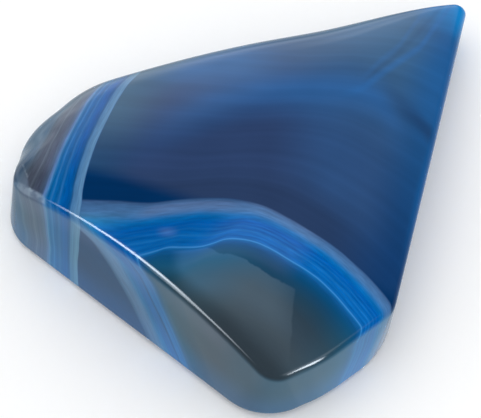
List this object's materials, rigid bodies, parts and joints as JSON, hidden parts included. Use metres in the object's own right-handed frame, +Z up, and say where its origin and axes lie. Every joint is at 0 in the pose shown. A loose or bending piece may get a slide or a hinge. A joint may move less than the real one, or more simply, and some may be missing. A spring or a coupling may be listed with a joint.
{
  "type": "agate flame carving",
  "caption": "Polished flame-shaped carving of blue banded agate: flat cut base and flat back, domed front face, rounded flank and pointed tip.",
  "frame": {"origin": "on the surface the flame lies on, under the middle of its bounding box", "axes": "+Y from the cut base to the tip, +X along the cut base, +Z up out of the flat back"},
  "size_m": [0.1058, 0.124, 0.0305],
  "materials": {
    "polished_agate": "ground and polished to a gloss, dyed blue, with fine pale and grey bands"
  },
  "bodies": {
    "root": {"agate_flame": "polished_agate"}
  },
  "joints": []
}
